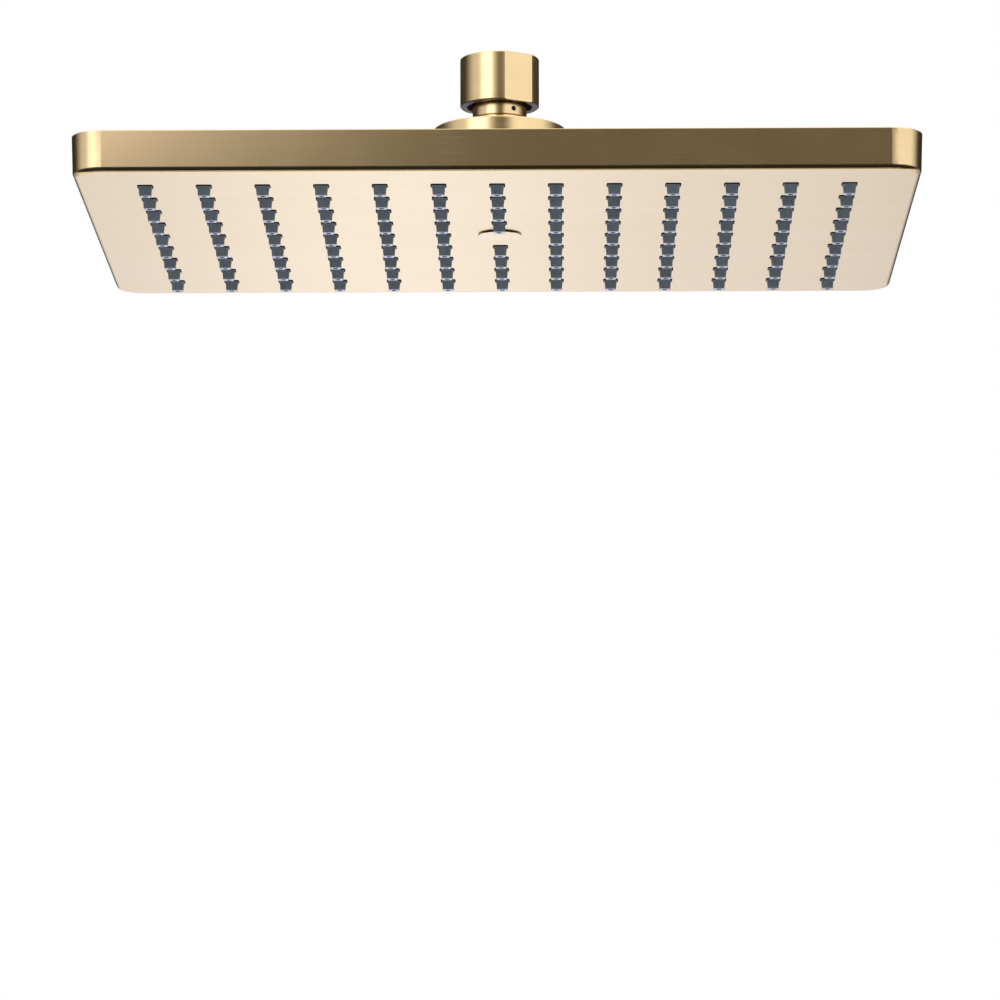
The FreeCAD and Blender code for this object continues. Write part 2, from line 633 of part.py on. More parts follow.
# the sketch plane's normal is -Y; turned about the axis it faces the hole's azimuth
sk.AttachmentOffset = FreeCAD.Placement(FreeCAD.Vector(math.sin(turn) * out, 0, math.cos(turn) * out), FreeCAD.Rotation(FreeCAD.Vector(0, 1, 0), VAL["lock_turn"]))
sk.setExpression("AttachmentOffset.Base.x", "sin(dims.lock_turn * 1 deg) * (dims.collar_rad + 1)")
sk.setExpression("AttachmentOffset.Base.z", "cos(dims.lock_turn * 1 deg) * (dims.collar_rad + 1)")
sk.setExpression("AttachmentOffset.Rotation.Angle", "dims.lock_turn")
circles(sk, [("0", "lock_mid", "lock_rad")])
pocket(collar, "lock_hole", sk, "lock_depth+1")

# ------------------------------------------------------------------ bell
turned("neck_bell", [
    ("water_rad", "spigot_bot"),
    ("spigot_rad-spigot_edge", "spigot_bot"),
    ("spigot_rad", "spigot_bot+spigot_edge"),
    ("spigot_rad", "stud_bot"),
    ("stud_rad", "stud_bot"),
    ("stud_rad", "stud_top"),
    ("tube_rad", "tube_low"),
    ("tube_rad", "bell_roof"),
    ("bell_rad-bell_wall", "bell_roof"),
    ("bell_foot_rad-bell_wall", "bell_foot"),
    ("bell_foot_rad-bell_wall", "face_thk"),
    ("gasket_in", "face_thk"),
    ("gasket_in", "gasket_top"),
    ("gasket_out", "gasket_top"),
    ("gasket_out", "face_thk"),
    ("flange_rad", "face_thk"),
    ("flange_rad", "flange_top-flange_edge"),
    ("flange_rad-flange_edge", "flange_top"),
    ("flange_fil", "flange_top"),
    ("bell_foot_rad", "bell_foot"),
    ("bell_rad", "bell_rim"),
    ("bell_lip_rad", "bell_lip_top"),
    ("bell_in_rad", "bell_in_top"),
    ("neck_rad+1.45", "neck_low-1.76"),
    ("neck_rad+0.9", "neck_low-1.56"),
    ("neck_rad+0.42", "neck_low-1.16"),
    ("neck_rad+0.11", "neck_low-0.62"),
    ("neck_rad", "neck_low"),
    ("neck_rad", "neck_top-neck_edge"),
    ("neck_rad-neck_edge", "neck_top"),
    ("pocket_mouth", "neck_top"),
    ("pocket_mouth", "pocket_step"),
    ("pocket_rad", "pocket_step"),
    ("pocket_rad", "pocket_floor"),
    ("water_rad", "pocket_floor"),
])

turned("bell_gasket", [
    ("gasket_in+0.05", "face_thk"),
    ("gasket_out-0.05", "face_thk"),
    ("gasket_out-0.05", "gasket_top-0.03"),
    ("gasket_in+0.05", "gasket_top-0.03"),
])

turned("lock_washer", [
    ("nut_hole+0.1", "washer_bot"),
    ("washer_rad", "washer_bot"),
    ("washer_rad", "face_thk-cover_thk"),
    ("nut_hole+0.1", "face_thk-cover_thk"),
])

# ------------------------------------------------------------------ primitives: nut and seal rings
hexagon = doc.addObject("Part::Prism", "nut_hexagon")
hexagon.Polygon = 6
hexagon.setExpression("Circumradius", "dims.nut_corner")
hexagon.setExpression("Height", "dims.washer_bot - dims.nut_bot")
hexagon.setExpression("Placement.Base.z", "dims.nut_bot - dims.drop")
hole = doc.addObject("Part::Cylinder", "nut_bore")
hole.setExpression("Radius", "dims.nut_hole")
hole.setExpression("Height", "dims.washer_bot - dims.nut_bot + 2")
hole.setExpression("Placement.Base.z", "dims.nut_bot - dims.drop - 1")
crown = doc.addObject("Part::Cone", "nut_crown")
crown.setExpression("Radius1", "dims.nut_corner - 0.8")
crown.setExpression("Radius2", "dims.nut_corner + 1.6")
crown.setExpression("Height", "dims.washer_bot - dims.nut_bot")
crown.setExpression("Placement.Base.z", "dims.nut_bot - dims.drop")
blank = doc.addObject("Part::Common", "nut_blank")
blank.Base, blank.Tool = hexagon, crown
nut = doc.addObject("Part::Cut", "bell_lock_nut")
nut.Label = "bell_lock_nut"
nut.Base, nut.Tool = blank, hole

for name, ring, cord, mid in (
    ("spigot_o_ring", "oring_rad", "oring_cord", "oring_mid"),
    ("seat_o_ring", "ring_rad", "ring_cord", "ring_mid"),
):
    torus = doc.addObject("Part::Torus", name)
    torus.Label = name
    torus.setExpression("Radius1", "dims." + ring)
    torus.setExpression("Radius2", "dims." + cord)
    torus.setExpression("Placement.Base.z", "dims.%s - dims.drop" % mid)

# locking screw in the collar: short cylinder with a socket, lying along its azimuth
pin_body = doc.addObject("Part::Cylinder", "lock_pin")
pin_body.setExpression("Radius", "dims.lock_screw")
pin_body.setExpression("Height", "dims.lock_depth - dims.lock_sink - 0.05")
pin_cut = doc.addObject("Part::Prism", "lock_pin_socket")
pin_cut.Polygon = 6
pin_cut.setExpression("Circumradius", "dims.lock_screw * 0.5")
pin_cut.setExpression("Height", "0.7 * dims.lock_screw + 0.5")
pin_cut.setExpression("Placement.Base.z", "dims.lock_depth - dims.lock_sink - 0.05 - 0.7 * dims.lock_screw")
lock = doc.addObject("Part::Cut", "collar_lock_screw")
lock.Label = "collar_lock_screw"
lock.Base, lock.Tool = pin_body, pin_cut
outward = FreeCAD.Vector(math.sin(turn), -math.cos(turn), 0)
start = VAL["collar_rad"] - VAL["lock_depth"] + 0.05
lock.Placement = FreeCAD.Placement(outward * start + FreeCAD.Vector(0, 0, VAL["lock_mid"] - VAL["drop"]), FreeCAD.Rotation(FreeCAD.Vector(0, 0, 1), outward))
lock.setExpression("Placement.Base.x", "sin(dims.lock_turn * 1 deg) * (dims.collar_rad - dims.lock_depth + 0.05)")
lock.setExpression("Placement.Base.y", "-cos(dims.lock_turn * 1 deg) * (dims.collar_rad - dims.lock_depth + 0.05)")
lock.setExpression("Placement.Base.z", "dims.lock_mid - dims.drop")

# ------------------------------------------------------------------ head shells
cover = new_body("back_cover")
sk = new_sketch(cover, "cover_plan", "XY_Plane", "cover_skirt")
rounded_rect(sk, "face_len/2-shell_wall-cover_gap", "face_wid/2-shell_wall-cover_gap", "corner_rad-shell_wall-cover_gap")
block = pad(cover, "cover_block", sk, "face_thk-cover_skirt")
doc.recompute()
soft = cover.newObject("PartDesign::Fillet", "cover_edge_round")
soft.Base = (block, edges_at(block.Shape, VAL["face_thk"]))
soft.Radius = VAL["cover_edge"]
soft.setExpression("Radius", "dims.cover_edge")
doc.recompute()
sk = new_sketch(cover, "cover_inside_plan", "XY_Plane", "cover_skirt")
rounded_rect(sk, "face_len/2-shell_wall-cover_gap-cover_thk", "face_wid/2-shell_wall-cover_gap-cover_thk", "corner_rad-shell_wall-cover_gap-cover_thk")
pocket(cover, "cover_inside", sk, "face_thk-cover_skirt-cover_thk", up=True)
sk = new_sketch(cover, "cover_hole_plan", "XY_Plane", "face_thk")
circles(sk, [("0", "0", "cover_hole")])
pocket(cover, "cover_hole_cut", sk, "cover_thk+1")

roof = new_body("chamber_cover")
sk = new_sketch(roof, "roof_plan", "XY_Plane", "rail_top")
rounded_rect(sk, "chamber_len/2", "chamber_wid/2", "chamber_corner")
pad(roof, "roof_block", sk, "roof_top-rail_top")
sk = new_sketch(roof, "roof_inside_plan", "XY_Plane", "rail_top")
rounded_rect(sk, "chamber_len/2-rail_wid", "chamber_wid/2-rail_wid", "chamber_corner/2")
pocket(roof, "roof_inside", sk, "roof_bot-rail_top", up=True)
sk = new_sketch(roof, "hub_plan", "XY_Plane", "roof_bot")
circles(sk, [("0", "0", "hub_rad")])
pad(roof, "hub", sk, "hub_top-roof_bot")
# stiffening ribs across the roof
sk = new_sketch(roof, "rib_plan", "XY_Plane", "roof_top-0.5")
for k, (cx, cy, hw, hd) in enumerate([("0", "60", "120", "1"), ("0", "-60", "120", "1"), ("70", "0", "1", "56"), ("-70", "0", "1", "56")]):
    x, y, w, d = number(cx), number(cy), number(hw), number(hd)
    V = FreeCAD.Vector
    corner = [V(x - w, y - d, 0), V(x + w, y - d, 0), V(x + w, y + d, 0), V(x - w, y + d, 0)]
    g = [sk.addGeometry(Part.LineSegment(corner[q], corner[(q + 1) % 4]), False) for q in range(4)]
    for q in range(4):
        sk.addConstraint(Sketcher.Constraint("Coincident", g[q], 2, g[(q + 1) % 4], 1))
    for q, word in enumerate(("Horizontal", "Vertical", "Horizontal", "Vertical")):
        sk.addConstraint(Sketcher.Constraint(word, g[q]))
    for kind, geo, value in (("DistanceX", 3, x - w), ("DistanceY", 0, y - d), ("DistanceX", 1, x + w), ("DistanceY", 2, y + d)):
        sk.addConstraint(Sketcher.Constraint(kind, -1, 1, g[geo], 1, value))
pad(roof, "ribs", sk, "hub_top-roof_top+1.6")
sk = new_sketch(roof, "hub_bore_plan", "XY_Plane", "hub_top")
circles(sk, [("0", "0", "hub_bore")])
pocket(roof, "hub_bore_cut", sk, "hub_top-hub_shelf")
sk = new_sketch(roof, "hub_hole_plan", "XY_Plane", "hub_top")
circles(sk, [("0", "0", "hub_hole")])
pocket(roof, "hub_hole_cut", sk, "hub_top-roof_bot+1")

# chamber screws stand on the rail, five along each long side and three more along each short side
half_x, half_y = VAL["bolt_len"] / 2, VAL["bolt_wid"] / 2
spots = [(f * half_x, s * half_y) for s in (-1, 1) for f in (-1, -0.5, 0, 0.5, 1)]
spots += [(s * half_x, f * half_y) for s in (-1, 1) for f in (-0.5, 0, 0.5)]
words = []
for x, y in spots:
    fx, fy = round(x / half_x, 3), round(y / half_y, 3)
    part = {1: "bolt_len/2", 0.5: "bolt_len/4", 0: "0", -0.5: "-bolt_len/4", -1: "-bolt_len/2"}[fx]
    part_y = {1: "bolt_wid/2", 0.5: "bolt_wid/4", 0: "0", -0.5: "-bolt_wid/4", -1: "-bolt_wid/2"}[fy]
    words.append((part, part_y))
sk = new_sketch(roof, "screw_hole_plan", "XY_Plane", "roof_top")
circles(sk, [(a, b, "bolt_hole") for a, b in words])
pocket(roof, "screw_holes", sk, "roof_top-rail_top+1")

plate = new_body("spray_plate")
sk = new_sketch(plate, "plate_plan", "XY_Plane", "mat_top")
rounded_rect(sk, "chamber_len/2", "chamber_wid/2", "chamber_corner")
pad(plate, "plate_block", sk, "rail_top-mat_top")
sk = new_sketch(plate, "plate_inside_plan", "XY_Plane", "rail_top")
rounded_rect(sk, "chamber_len/2-rail_wid", "chamber_wid/2-rail_wid", "chamber_corner/2")
pocket(plate, "plate_inside", sk, "rail_top-plate_top")
sk = new_sketch(plate, "port_plan", "XY_Plane", "plate_top")
circles(sk, [("first_x", "first_y", "plate_port")])
cut = pocket(plate, "port", sk, "plate_top-mat_top+1")
grid(plate, "port_grid", [cut], sk)
sk = new_sketch(plate, "boss_plan", "XY_Plane", "mat_top")
circles(sk, [("0", "0", "boss_rad")])
pad(plate, "boss", sk, "boss_top-mat_top")
sk = new_sketch(plate, "boss_recess_plan", "XY_Plane", "mat_top")
circles(sk, [("0", "0", "boss_recess")])
pocket(plate, "boss_recess_cut", sk, "recess_top-mat_top", up=True)
sk = new_sketch(plate, "pilot_plan", "XY_Plane", "mat_top")
circles(sk, [("0", "0", "pilot_rad")])
pocket(plate, "pilot", sk, "pilot_top-mat_top", up=True)
sk = new_sketch(plate, "groove_plan", "XY_Plane", "rail_top")
rounded_rect(sk, "seal_line_len/2+groove_wid/2", "seal_line_wid/2+groove_wid/2", "chamber_corner")
rounded_rect(sk, "seal_line_len/2-groove_wid/2", "seal_line_wid/2-groove_wid/2", "chamber_corner-groove_wid")
pocket(plate, "groove", sk, "rail_top-groove_bot")
sk = new_sketch(plate, "screw_pilot_plan", "XY_Plane", "rail_top")
circles(sk, [(a, b, "bolt_rad+0.03") for a, b in words])
pocket(plate, "screw_pilots", sk, "rail_top-bolt_hole_end")

seal = new_body("chamber_seal")
sk = new_sketch(seal, "seal_plan", "XY_Plane", "seal_bot")
rounded_rect(sk, "seal_line_len/2+seal_wid/2", "seal_line_wid/2+seal_wid/2", "chamber_corner-groove_wid/2+seal_wid/2")
rounded_rect(sk, "seal_line_len/2-seal_wid/2", "seal_line_wid/2-seal_wid/2", "chamber_corner-groove_wid/2-seal_wid/2")
pad(seal, "seal_loop", sk, "seal_top-seal_bot")

# sixteen identical screws kept together as one group of solids
solids = []
for x, y in spots:
    base = FreeCAD.Vector(x, y, 0)
    up = FreeCAD.Vector(0, 0, 1)
    shank = Part.makeCylinder(VAL["bolt_rad"], VAL["roof_top"] - VAL["bolt_end"], base + up * VAL["bolt_end"], up)
    head = Part.makeCylinder(VAL["bolt_head_rad"], VAL["bolt_head_top"] - VAL["roof_top"], base + up * VAL["roof_top"], up)
    rim = [e for e in head.Edges if abs(e.BoundBox.ZMin - VAL["bolt_head_top"]) < 1e-6 and e.BoundBox.ZLength < 1e-6]
    head = head.makeFillet(0.45, rim)
    corner = [base + FreeCAD.Vector(math.cos(k * math.pi / 3), math.sin(k * math.pi / 3), 0) * VAL["bolt_socket"] + up * VAL["bolt_socket_bot"] for k in range(6)]
    socket = Part.Face(Part.makePolygon(corner + corner[:1])).extrude(up * 3)
    solids.append(shank.fuse(head).removeSplitter().cut(socket).Solids[0])
screws = doc.addObject("Part::Feature", "chamber_screws")
screws.Label = "chamber_screws"
screws.Shape = Part.makeCompound(solids)
screws.Placement = FreeCAD.Placement(FreeCAD.Vector(0, 0, -VAL["drop"]), FreeCAD.Rotation())

# Face pan: filleted outer edge, 116 square ports and a cup at the centre.
shell = new_body("face_shell")
sk = new_sketch(shell, "shell_plan", "XY_Plane", "0")
rounded_rect(sk, "face_len/2", "face_wid/2", "corner_rad")
block = pad(shell, "shell_block", sk, "face_thk")
# the edge leans outward a little from the face to the back
block.TaperAngle = VAL["draft_deg"]
block.setExpression("TaperAngle", "dims.draft_deg")
doc.recompute()
soft = shell.newObject("PartDesign::Fillet", "face_edge_round")
soft.Base = (block, edges_at(block.Shape, 0.0))
soft.Radius = VAL["edge_rad"]
soft.setExpression("Radius", "dims.edge_rad")
doc.recompute()
rim = shell.newObject("PartDesign::Fillet", "rim_round")
rim.Base = (soft, edges_at(soft.Shape, VAL["face_thk"]))
rim.Radius = VAL["rim_rad"]
rim.setExpression("Radius", "dims.rim_rad")
doc.recompute()
sk = new_sketch(shell, "shell_inside_plan", "XY_Plane", "shell_wall")
rounded_rect(sk, "face_len/2-shell_wall", "face_wid/2-shell_wall", "corner_rad-shell_wall")
inside = pocket(shell, "shell_inside", sk, "face_thk", up=True)
sk = new_sketch(shell, "shell_port_plan", "XY_Plane", "0")
square_at(sk, "first_x", "first_y", "port_side/2", "port_corner")
cut = pocket(shell, "shell_port", sk, "shell_wall+0.5", up=True)
grid(shell, "shell_port_grid", [cut], sk)
sk = new_sketch(shell, "cup_plan", "XY_Plane", "0")
circles(sk, [("0", "0", "cup_out")])
pad(shell, "cup", sk, "cup_back")
sk = new_sketch(shell, "cup_inside_plan", "XY_Plane", "0")
circles(sk, [("0", "0", "cup_in")])
pocket(shell, "cup_inside", sk, "cup_floor", up=True)
sk = new_sketch(shell, "cup_hole_plan", "XY_Plane", "0")
circles(sk, [("0", "0", "cup_hole")])
pocket(shell, "cup_hole_cut", sk, "cup_back+1", up=True)

# One silicone moulding: sheet with a nozzle in every port, drawn from the nozzle tips up.
mat = new_body("nozzle_mat")
mat.setExpression("Placement.Base.z", "-dims.drop - dims.noz_len")
sk = new_sketch(mat, "mat_plan", "XY_Plane", "noz_len+mat_bot")
rounded_rect(sk, "chamber_len/2", "chamber_wid/2", "chamber_corner")
pad(mat, "mat_sheet", sk, "mat_top-mat_bot")
sk_skirt = new_sketch(mat, "skirt_plan", "XY_Plane", "noz_len-skirt_proud")
square_at(sk_skirt, "first_x", "first_y", "skirt_side/2", "port_corner")
skirt = pad(mat, "skirt", sk_skirt, "mat_bot+skirt_proud+0.2")
sk_root = new_sketch(mat, "nozzle_root_plan", "XY_Plane", "noz_len-skirt_proud")
square_at(sk_root, "first_x", "first_y", "noz_root/2", "noz_root_corner")
sk_tip = new_sketch(mat, "nozzle_tip_plan", "XY_Plane", "0")
square_at(sk_tip, "first_x", "first_y", "noz_tip/2", "noz_tip_corner")
doc.recompute()
loft = mat.newObject("PartDesign::AdditiveLoft", "nozzle_taper")
loft.Profile = sk_tip
loft.Sections = [sk_root]
loft.Ruled = True
doc.recompute()
sk_well = new_sketch(mat, "well_plan", "XY_Plane", "noz_len+mat_top")
circles(sk_well, [("first_x", "first_y", "well_rad")])
well = pocket(mat, "well", sk_well, "noz_len+mat_top-well_end")
sk_out = new_sketch(mat, "outlet_plan", "XY_Plane", "0")
circles(sk_out, [("first_x", "first_y", "outlet_rad")])
outlet = pocket(mat, "outlet", sk_out, "well_end+0.5", up=True)
grid(mat, "nozzle_grid", [skirt, loft, well, outlet], sk_skirt)
sk = new_sketch(mat, "mat_centre_plan", "XY_Plane", "0")
circles(sk, [("0", "0", "cup_out+0.15")])
pocket(mat, "mat_centre", sk, "noz_len+mat_top+1", up=True)

# ------------------------------------------------------------------ centre screw, seal and cap
turned("centre_screw", [
    ("0", "drive_end"),
    ("drive_rad", "drive_end"),
    ("drive_rad", "screw_head_bot"),
    ("screw_head_rad-0.4", "screw_head_bot"),
    ("screw_head_rad", "screw_head_bot+0.4"),
    ("screw_head_rad", "screw_head_top"),
    ("screw_rad", "screw_head_top"),
    ("screw_rad", "screw_end-0.3"),
    ("screw_rad-0.3", "screw_end"),
    ("0", "screw_end"),
])
turned("centre_screw_seal", [
    ("screw_rad+0.05", "screw_head_top+0.01"),
    ("seal_out", "screw_head_top+0.01"),
    ("seal_out", "cup_floor-0.01"),
    ("screw_rad+0.05", "cup_floor-0.01"),
])
cap = new_body("centre_cap")
cap.setExpression("Placement.Base.z", "-dims.drop - dims.cap_proud")
sk = new_sketch(cap, "cap_outline", "XZ_Plane")
profile(sk, [
    ("0", "0"),
    ("cap_rad-cap_edge", "0"),
    ("cap_rad", "cap_edge"),
    ("cap_rad", "cap_proud"),
    ("cap_ring_out", "cap_proud"),
    ("cap_ring_out", "cap_proud+cap_ring_top"),
    ("cap_ring_in", "cap_proud+cap_ring_top"),
    ("cap_ring_in", "cap_proud"),
    ("0", "cap_proud"),
])
revolve(cap, "cap_turned", sk)

# ------------------------------------------------------------------ check and write
doc.recompute()
for obj in doc.Objects:
    if any(word in obj.State for word in ("Invalid", "Error")):
        raise RuntimeError("%s failed: %s" % (obj.Name, obj.State))

NODES = [
    "inlet_body", "ball_stem", "stem_seal", "inlet_washer", "strainer_screen", "flow_restrictor",
    "ball_liner", "lower_seat", "seat_o_ring", "retaining_collar", "collar_lock_screw",
    "neck_bell", "bell_gasket", "lock_washer", "bell_lock_nut", "spigot_o_ring",
    "back_cover", "chamber_cover", "chamber_seal", "chamber_screws", "spray_plate",
    "nozzle_mat", "face_shell", "centre_screw", "centre_screw_seal", "centre_cap",
]
shapes = {}
for name in NODES:
    obj = doc.getObjectsByLabel(name)[0]
    shape = obj.Shape
    if shape.isNull() or not shape.isValid() or not shape.Solids:
        raise RuntimeError("%s has no valid solid" % name)
    if name != "chamber_screws" and len(shape.Solids) != 1:
        raise RuntimeError("%s has %d solids" % (name, len(shape.Solids)))
    shapes[name] = shape

os.makedirs("parts", exist_ok=True)
for name, shape in shapes.items():
    shape.exportStep("parts/%s.step" % name)
    box = shape.BoundBox
    print("%-20s %10.1f mm3  z %8.2f .. %7.2f  x %8.2f .. %7.2f" % (name, shape.Volume, box.ZMin, box.ZMax, box.XMin, box.XMax))
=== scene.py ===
import math

import bmesh
import bpy
from mathutils import Matrix, Vector


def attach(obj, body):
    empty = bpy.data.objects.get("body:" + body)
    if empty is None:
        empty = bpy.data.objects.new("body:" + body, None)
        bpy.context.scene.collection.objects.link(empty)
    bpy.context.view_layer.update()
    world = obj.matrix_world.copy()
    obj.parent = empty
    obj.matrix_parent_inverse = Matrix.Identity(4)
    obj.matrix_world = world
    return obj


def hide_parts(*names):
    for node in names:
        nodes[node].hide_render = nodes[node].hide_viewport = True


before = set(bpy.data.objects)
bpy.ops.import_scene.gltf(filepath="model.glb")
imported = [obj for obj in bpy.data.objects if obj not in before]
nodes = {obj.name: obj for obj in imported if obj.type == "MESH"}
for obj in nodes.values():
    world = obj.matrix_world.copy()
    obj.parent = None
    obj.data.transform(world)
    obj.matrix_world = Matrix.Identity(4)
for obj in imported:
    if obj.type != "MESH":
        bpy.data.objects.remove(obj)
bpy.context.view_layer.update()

MM = 0.001
scene = bpy.context.scene


# ------------------------------------------------------------------ node helpers
def new_material(name):
    m = bpy.data.materials.new(name)
    m.use_nodes = True
    nt = m.node_tree
    for n in list(nt.nodes):
        if n.type != "OUTPUT_MATERIAL":
            nt.nodes.remove(n)
    return m, nt, nt.nodes["Material Output"] if "Material Output" in nt.nodes else nt.nodes.new("ShaderNodeOutputMaterial")


def N(nt, kind, **values):
    n = nt.nodes.new(kind)
    for k, v in values.items():
        if hasattr(n, k):
            setattr(n, k, v)
        else:
            n.inputs[k].default_value = v
    return n


def math_node(nt, op, a, b=None, clamp=False):
    n = nt.nodes.new("ShaderNodeMath")
    n.operation = op
    n.use_clamp = clamp
    for i, v in enumerate((a, b)):
        if v is None:
            continue
        if isinstance(v, (int, float)):
            n.inputs[i].default_value = v
        else:
            nt.links.new(v, n.inputs[i])
    return n.outputs[0]


def combine(nt, x, y, z):
    n = nt.nodes.new("ShaderNodeCombineXYZ")
    for i, v in enumerate((x, y, z)):
        if isinstance(v, (int, float)):
            n.inputs[i].default_value = v
        else:
            nt.links.new(v, n.inputs[i])
    return n.outputs[0]


def noise(nt, vector, scale, detail=2.0, rough=0.5):
    n = nt.nodes.new("ShaderNodeTexNoise")
    n.inputs["Scale"].default_value = scale
    n.inputs["Detail"].default_value = detail
    n.inputs["Roughness"].default_value = rough
    nt.links.new(vector, n.inputs["Vector"])
    return n.outputs["Fac"]


def ramp(nt, fac, stops):
    n = nt.nodes.new("ShaderNodeValToRGB")
    el = n.color_ramp.elements
    while len(el) > 1:
        el.remove(el[-1])
    el[0].position = stops[0][0]
    el[0].color = stops[0][1]
    for pos, col in stops[1:]:
        e = el.new(pos)
        e.color = col
    nt.links.new(fac, n.inputs["Fac"])
    return n.outputs["Color"]


def lerp(nt, fac, lo, hi):
    n = nt.nodes.new("ShaderNodeMapRange")
    n.inputs["From Min"].default_value = 0.0
    n.inputs["From Max"].default_value = 1.0
    n.inputs["To Min"].default_value = lo
    n.inputs["To Max"].default_value = hi
    nt.links.new(fac, n.inputs["Value"])
    return n.outputs["Result"]


def remap(nt, fac, a, b, lo, hi):
    n = nt.nodes.new("ShaderNodeMapRange")
    n.inputs["From Min"].default_value = a
    n.inputs["From Max"].default_value = b
    n.inputs["To Min"].default_value = lo
    n.inputs["To Max"].default_value = hi
    nt.links.new(fac, n.inputs["Value"])
    return n.outputs["Result"]


def mix_colour(nt, fac, a, b, mode="MIX"):
    n = nt.nodes.new("ShaderNodeMix")
    n.data_type = "RGBA"
    n.blend_type = mode
    n.clamp_factor = True
    if isinstance(fac, (int, float)):
        n.inputs[0].default_value = fac
    else:
        nt.links.new(fac, n.inputs[0])
    for i, v in ((6, a), (7, b)):
        if isinstance(v, tuple):
            n.inputs[i].default_value = v
        else:
            nt.links.new(v, n.inputs[i])
    return n.outputs[2]


def bump(nt, height, strength, distance):
    n = nt.nodes.new("ShaderNodeBump")
    n.inputs["Strength"].default_value = strength
    n.inputs["Distance"].default_value = distance
    nt.links.new(height, n.inputs["Height"])
    return n.outputs["Normal"]


def position(nt):
    """Object coordinates in metres, as x, y, z, and the vector."""
    tc = nt.nodes.new("ShaderNodeTexCoord")
    sep = nt.nodes.new("ShaderNodeSeparateXYZ")
    nt.links.new(tc.outputs["Object"], sep.inputs[0])
    return sep.outputs[0], sep.outputs[1], sep.outputs[2], tc.outputs["Object"], tc.outputs["Normal"]


def rgba(r, g, b):
    return (r, g, b, 1.0)


# ------------------------------------------------------------------ brushed and turned gold
def gold(name, base, dark, light, rough_lo, rough_hi, brushed=True, scratch=0.5, streak_mm=0.16, underside_painted_shade=False):
    m, nt, out = new_material(name)
    p = nt.nodes.new("ShaderNodeBsdfPrincipled")
    nt.links.new(p.outputs[0], out.inputs[0])
    p.inputs["Metallic"].default_value = 1.0
    p.inputs["IOR"].default_value = 1.5
    x, y, z, vec, normal = position(nt)
    nsep = nt.nodes.new("ShaderNodeSeparateXYZ")
    nt.links.new(normal, nsep.inputs[0])
    r = math_node(nt, "SQRT", math_node(nt, "ADD", math_node(nt, "MULTIPLY", x, x), math_node(nt, "MULTIPLY", y, y)))
    if brushed:
        # the lines run along X on the face and the long walls, and along Y on the short walls
        side = math_node(nt, "GREATER_THAN", math_node(nt, "ABSOLUTE", nsep.outputs[0]), 0.75)
        wall = math_node(nt, "GREATER_THAN", math_node(nt, "ADD", math_node(nt, "ABSOLUTE", nsep.outputs[0]), math_node(nt, "ABSOLUTE", nsep.outputs[1])), 0.8)
        along = math_node(nt, "ADD", math_node(nt, "MULTIPLY", x, math_node(nt, "SUBTRACT", 1.0, side)), math_node(nt, "MULTIPLY", y, side))
        across = math_node(nt, "ADD", math_node(nt, "MULTIPLY", y, math_node(nt, "SUBTRACT", 1.0, wall)), math_node(nt, "MULTIPLY", z, wall))
        a_fine = combine(nt, math_node(nt, "MULTIPLY", along, 22.0), math_node(nt, "MULTIPLY", across, 1000.0 / streak_mm), 3.1)
        a_mid = combine(nt, math_node(nt, "MULTIPLY", along, 9.0), math_node(nt, "MULTIPLY", across, 420.0), 7.7)
        a_wide = combine(nt, math_node(nt, "MULTIPLY", along, 5.0), math_node(nt, "MULTIPLY", across, 34.0), 1.3)
    else:
        # the lines run round the axis
        angle = math_node(nt, "ARCTAN2", y, x)
        rad = math_node(nt, "ADD", math_node(nt, "MULTIPLY", r, 0.83), z)
        a_fine = combine(nt, math_node(nt, "MULTIPLY", angle, 1.6), math_node(nt, "MULTIPLY", rad, 1000.0 / streak_mm), 3.1)
        a_mid = combine(nt, math_node(nt, "MULTIPLY", angle, 0.8), math_node(nt, "MULTIPLY", rad, 1500.0), 7.7)
        a_wide = combine(nt, math_node(nt, "MULTIPLY", angle, 0.5), math_node(nt, "MULTIPLY", rad, 160.0), 1.3)
    fine = noise(nt, a_fine, 1.0, 2.0, 0.6)
    mid = noise(nt, a_mid, 1.0, 2.0, 0.55)
    wide = noise(nt, a_wide, 1.0, 1.0, 0.5)
    cloud = noise(nt, vec, 38.0, 2.0, 0.5)
    tone = math_node(nt, "ADD", math_node(nt, "ADD", math_node(nt, "MULTIPLY", fine, 0.34), math_node(nt, "MULTIPLY", mid, 0.26)), math_node(nt, "ADD", math_node(nt, "MULTIPLY", wide, 0.22), math_node(nt, "MULTIPLY", cloud, 0.18)))
    colour = ramp(nt, tone, [(0.32, rgba(*dark)), (0.50, rgba(*base)), (0.68, rgba(*light))])
    rough = remap(nt, math_node(nt, "ADD", math_node(nt, "MULTIPLY", fine, 0.6), math_node(nt, "MULTIPLY", cloud, 0.4)), 0.3, 0.7, rough_lo, rough_hi)
    if underside_painted_shade:
        # painted shade: the turned recess and lower face of the inlet body are coloured dull dark grey and made
        # rougher, standing in for the shade under the nut
        low = math_node(nt, "LESS_THAN", z, -0.0145)
        flat = math_node(nt, "LESS_THAN", nsep.outputs[2], -0.22)
        inside = math_node(nt, "LESS_THAN", r, 0.01235)
        underside_shade_mask = math_node(nt, "MULTIPLY", low, math_node(nt, "MAXIMUM", flat, inside))
        grey = ramp(nt, tone, [(0.35, rgba(0.085, 0.076, 0.074)), (0.52, rgba(0.150, 0.136, 0.130)), (0.66, rgba(0.260, 0.236, 0.222))])
        colour = mix_colour(nt, underside_shade_mask, colour, grey)
        rough = math_node(nt, "ADD", rough, math_node(nt, "MULTIPLY", underside_shade_mask, 0.16))
    nt.links.new(colour, p.inputs["Base Color"])
    nt.links.new(rough, p.inputs["Roughness"])
    height = math_node(nt, "ADD", math_node(nt, "MULTIPLY", fine, 0.7), math_node(nt, "MULTIPLY", mid, 0.3))
    nt.links.new(bump(nt, height, scratch, 0.00002), p.inputs["Normal"])
    return m


